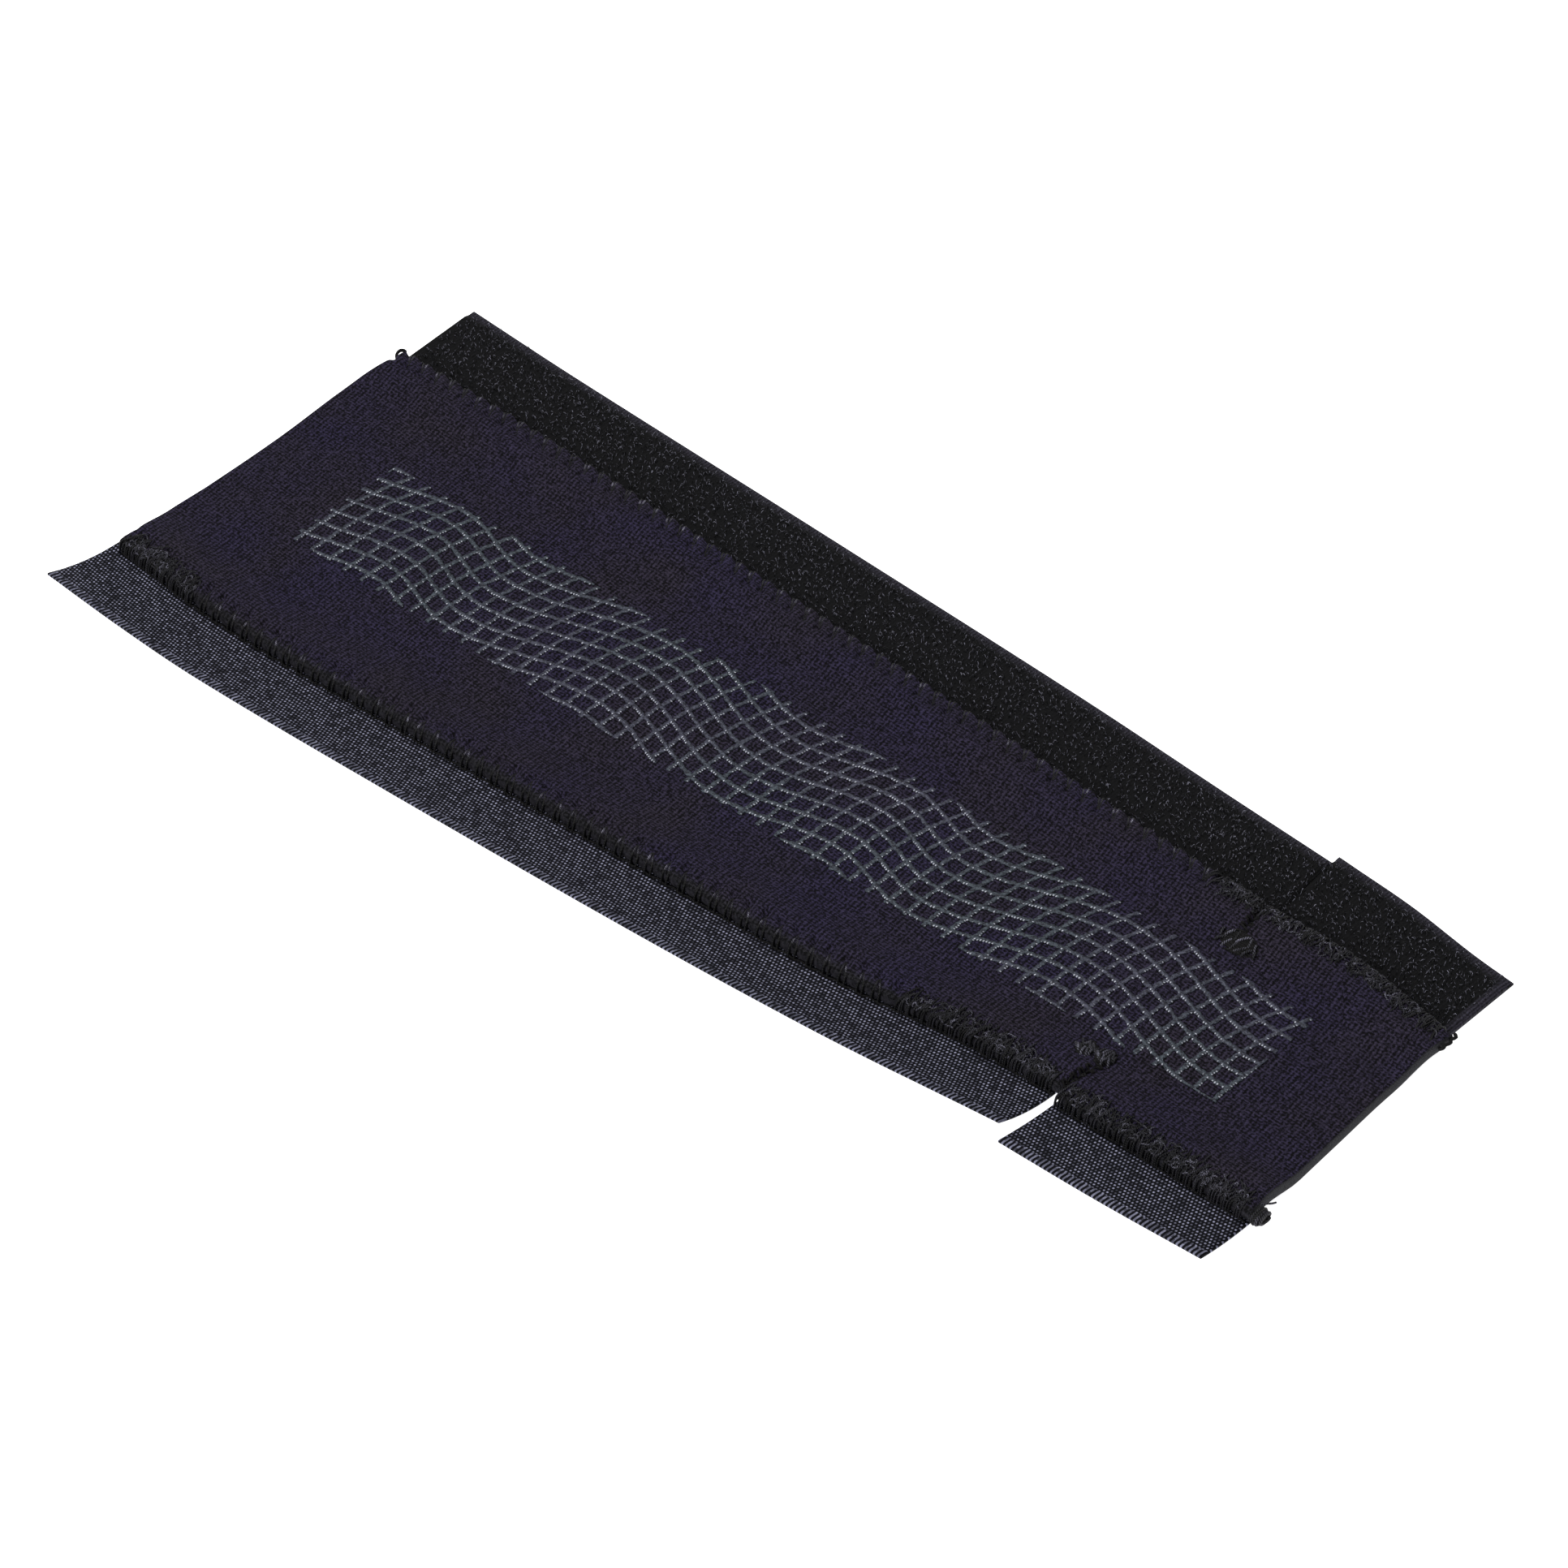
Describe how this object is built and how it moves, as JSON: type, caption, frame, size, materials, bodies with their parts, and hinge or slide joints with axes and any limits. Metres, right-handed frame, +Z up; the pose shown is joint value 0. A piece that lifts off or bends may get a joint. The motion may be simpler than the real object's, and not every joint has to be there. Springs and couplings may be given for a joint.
{
  "type": "chainstay protector",
  "caption": "Tapered neoprene sleeve for a bicycle chainstay, lying open and flat, with a sewn loop tape, a sewn hook tape, end darts and a wavy net print",
  "frame": {"origin": "middle of the flat footprint, on the surface that the protector lies on", "axes": "+X runs along the protector from its wide end to its narrow end, +Y points to the loop tape, +Z points up out of the printed face"},
  "size_m": [0.2638, 0.111, 0.005],
  "materials": {
    "jersey_neoprene": "matte knitted jersey on foam",
    "net_print": "silvery printed ink with fine glints",
    "loop_pile": "fuzzy brushed loop pile",
    "hook_tape": "ribbed woven nylon backing",
    "sewing_thread": "spun polyester thread, slight sheen"
  },
  "bodies": {
    "root": {"neoprene_panel": "jersey_neoprene", "print_net": "net_print", "loop_tape_main": "loop_pile", "loop_tape_end": "loop_pile", "hook_tape_main": "hook_tape", "hook_tape_end": "hook_tape", "upper_seam_thread": "sewing_thread", "lower_seam_thread": "sewing_thread", "upper_dart_stitch": "sewing_thread", "lower_dart_stitch": "sewing_thread", "thread_tail": "sewing_thread"}
  },
  "joints": []
}
